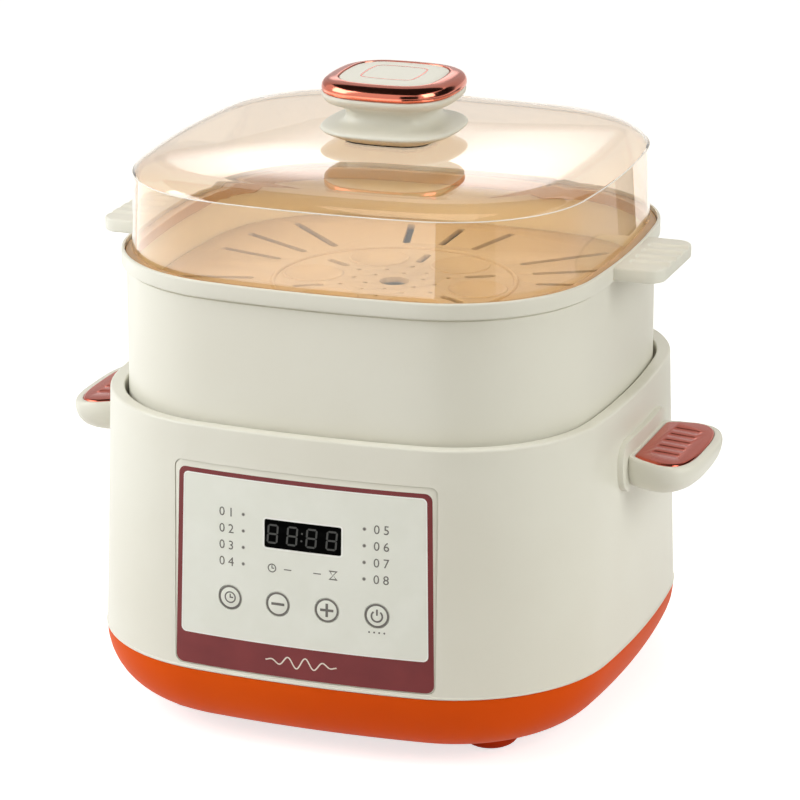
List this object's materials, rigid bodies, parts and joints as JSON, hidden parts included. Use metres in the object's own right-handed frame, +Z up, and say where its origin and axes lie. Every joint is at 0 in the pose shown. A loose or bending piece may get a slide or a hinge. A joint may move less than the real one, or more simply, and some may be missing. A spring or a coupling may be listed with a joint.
{
  "type": "electric saucepan",
  "caption": "Square electric stewing pot with rounded corners, a control panel, side handles, a lift-out pot, a steamer tier with a tray and a clear domed lid with a knob.",
  "frame": {"origin": "middle of the overall box, on the floor plane under the feet", "axes": "+Z up, the control panel faces -Y, the handles lie along X"},
  "size_m": [0.3444, 0.276, 0.3241],
  "materials": {
    "cream_plastic": "satin moulded",
    "orange_plastic": "satin moulded",
    "orange_rubber": "matt",
    "rubber": "matt",
    "steel": "plated",
    "pan_coating": "warm coated",
    "aluminium": "cast",
    "white_plastic": "gloss",
    "board": "solder mask",
    "dark_plastic": "fine texture",
    "brass": "plated",
    "film": "printed film",
    "window": "gloss tinted",
    "copper_trim": "rose-gold plated",
    "ceramic": "glazed ceramic",
    "amber_clear": "clear amber"
  },
  "bodies": {
    "base": {"base_housing": "cream_plastic", "base_skirt": "orange_plastic", "rubber_feet": "orange_rubber", "skirt_screws": "steel", "heating_pan": "pan_coating", "pan_gasket": "rubber", "heater_plate": "aluminium", "heating_element": "steel", "temperature_sensor": "steel", "sensor_bracket": "steel", "thermal_fuse": "white_plastic", "power_board": "board", "power_inlet": "dark_plastic", "inlet_pins": "brass", "panel_plate": "cream_plastic", "panel_film": "film", "display_window": "window", "display_module": "dark_plastic", "indicator_guides": "white_plastic", "control_board": "board", "key_switches": "dark_plastic", "handle_left": "cream_plastic", "handle_right": "cream_plastic", "handle_trim_left": "copper_trim", "handle_trim_right": "copper_trim", "handle_screws": "steel"},
    "key_timer": {"key_timer": "film"},
    "key_minus": {"key_minus": "film"},
    "key_plus": {"key_plus": "film"},
    "key_function": {"key_function": "film"},
    "stew_pot": {"stew_pot": "ceramic"},
    "pot_lid": {"pot_lid": "ceramic"},
    "steamer": {"steamer_tier": "cream_plastic"},
    "tray": {"steaming_tray": "cream_plastic"},
    "lid": {"lid_dome": "amber_clear", "knob_spool": "cream_plastic", "knob_ring": "copper_trim", "knob_cap": "cream_plastic", "knob_screw": "steel", "knob_seal": "rubber"}
  },
  "joints": [
    {"name": "pot_lift", "type": "slide", "parent": "base", "child": "stew_pot", "axis": [0, 0, 1], "range_m": [0, 0.15]},
    {"name": "pot_lid_lift", "type": "slide", "parent": "stew_pot", "child": "pot_lid", "axis": [0, 0, 1], "range_m": [0, 0.05]},
    {"name": "steamer_lift", "type": "slide", "parent": "pot_lid", "child": "steamer", "axis": [0, 0, 1], "range_m": [0, 0.07]},
    {"name": "tray_lift", "type": "slide", "parent": "steamer", "child": "tray", "axis": [0, 0, 1], "range_m": [0, 0.05]},
    {"name": "lid_lift", "type": "slide", "parent": "tray", "child": "lid", "axis": [0, 0, 1], "range_m": [0, 0.06]},
    {"name": "key_timer_press", "type": "slide", "parent": "base", "child": "key_timer", "axis": [0, 1, 0], "range_m": [0, 0.0005], "stiffness_N_per_m": 4000},
    {"name": "key_minus_press", "type": "slide", "parent": "base", "child": "key_minus", "axis": [0, 1, 0], "range_m": [0, 0.0005], "stiffness_N_per_m": 4000},
    {"name": "key_plus_press", "type": "slide", "parent": "base", "child": "key_plus", "axis": [0, 1, 0], "range_m": [0, 0.0005], "stiffness_N_per_m": 4000},
    {"name": "key_function_press", "type": "slide", "parent": "base", "child": "key_function", "axis": [0, 1, 0], "range_m": [0, 0.0005], "stiffness_N_per_m": 4000}
  ]
}
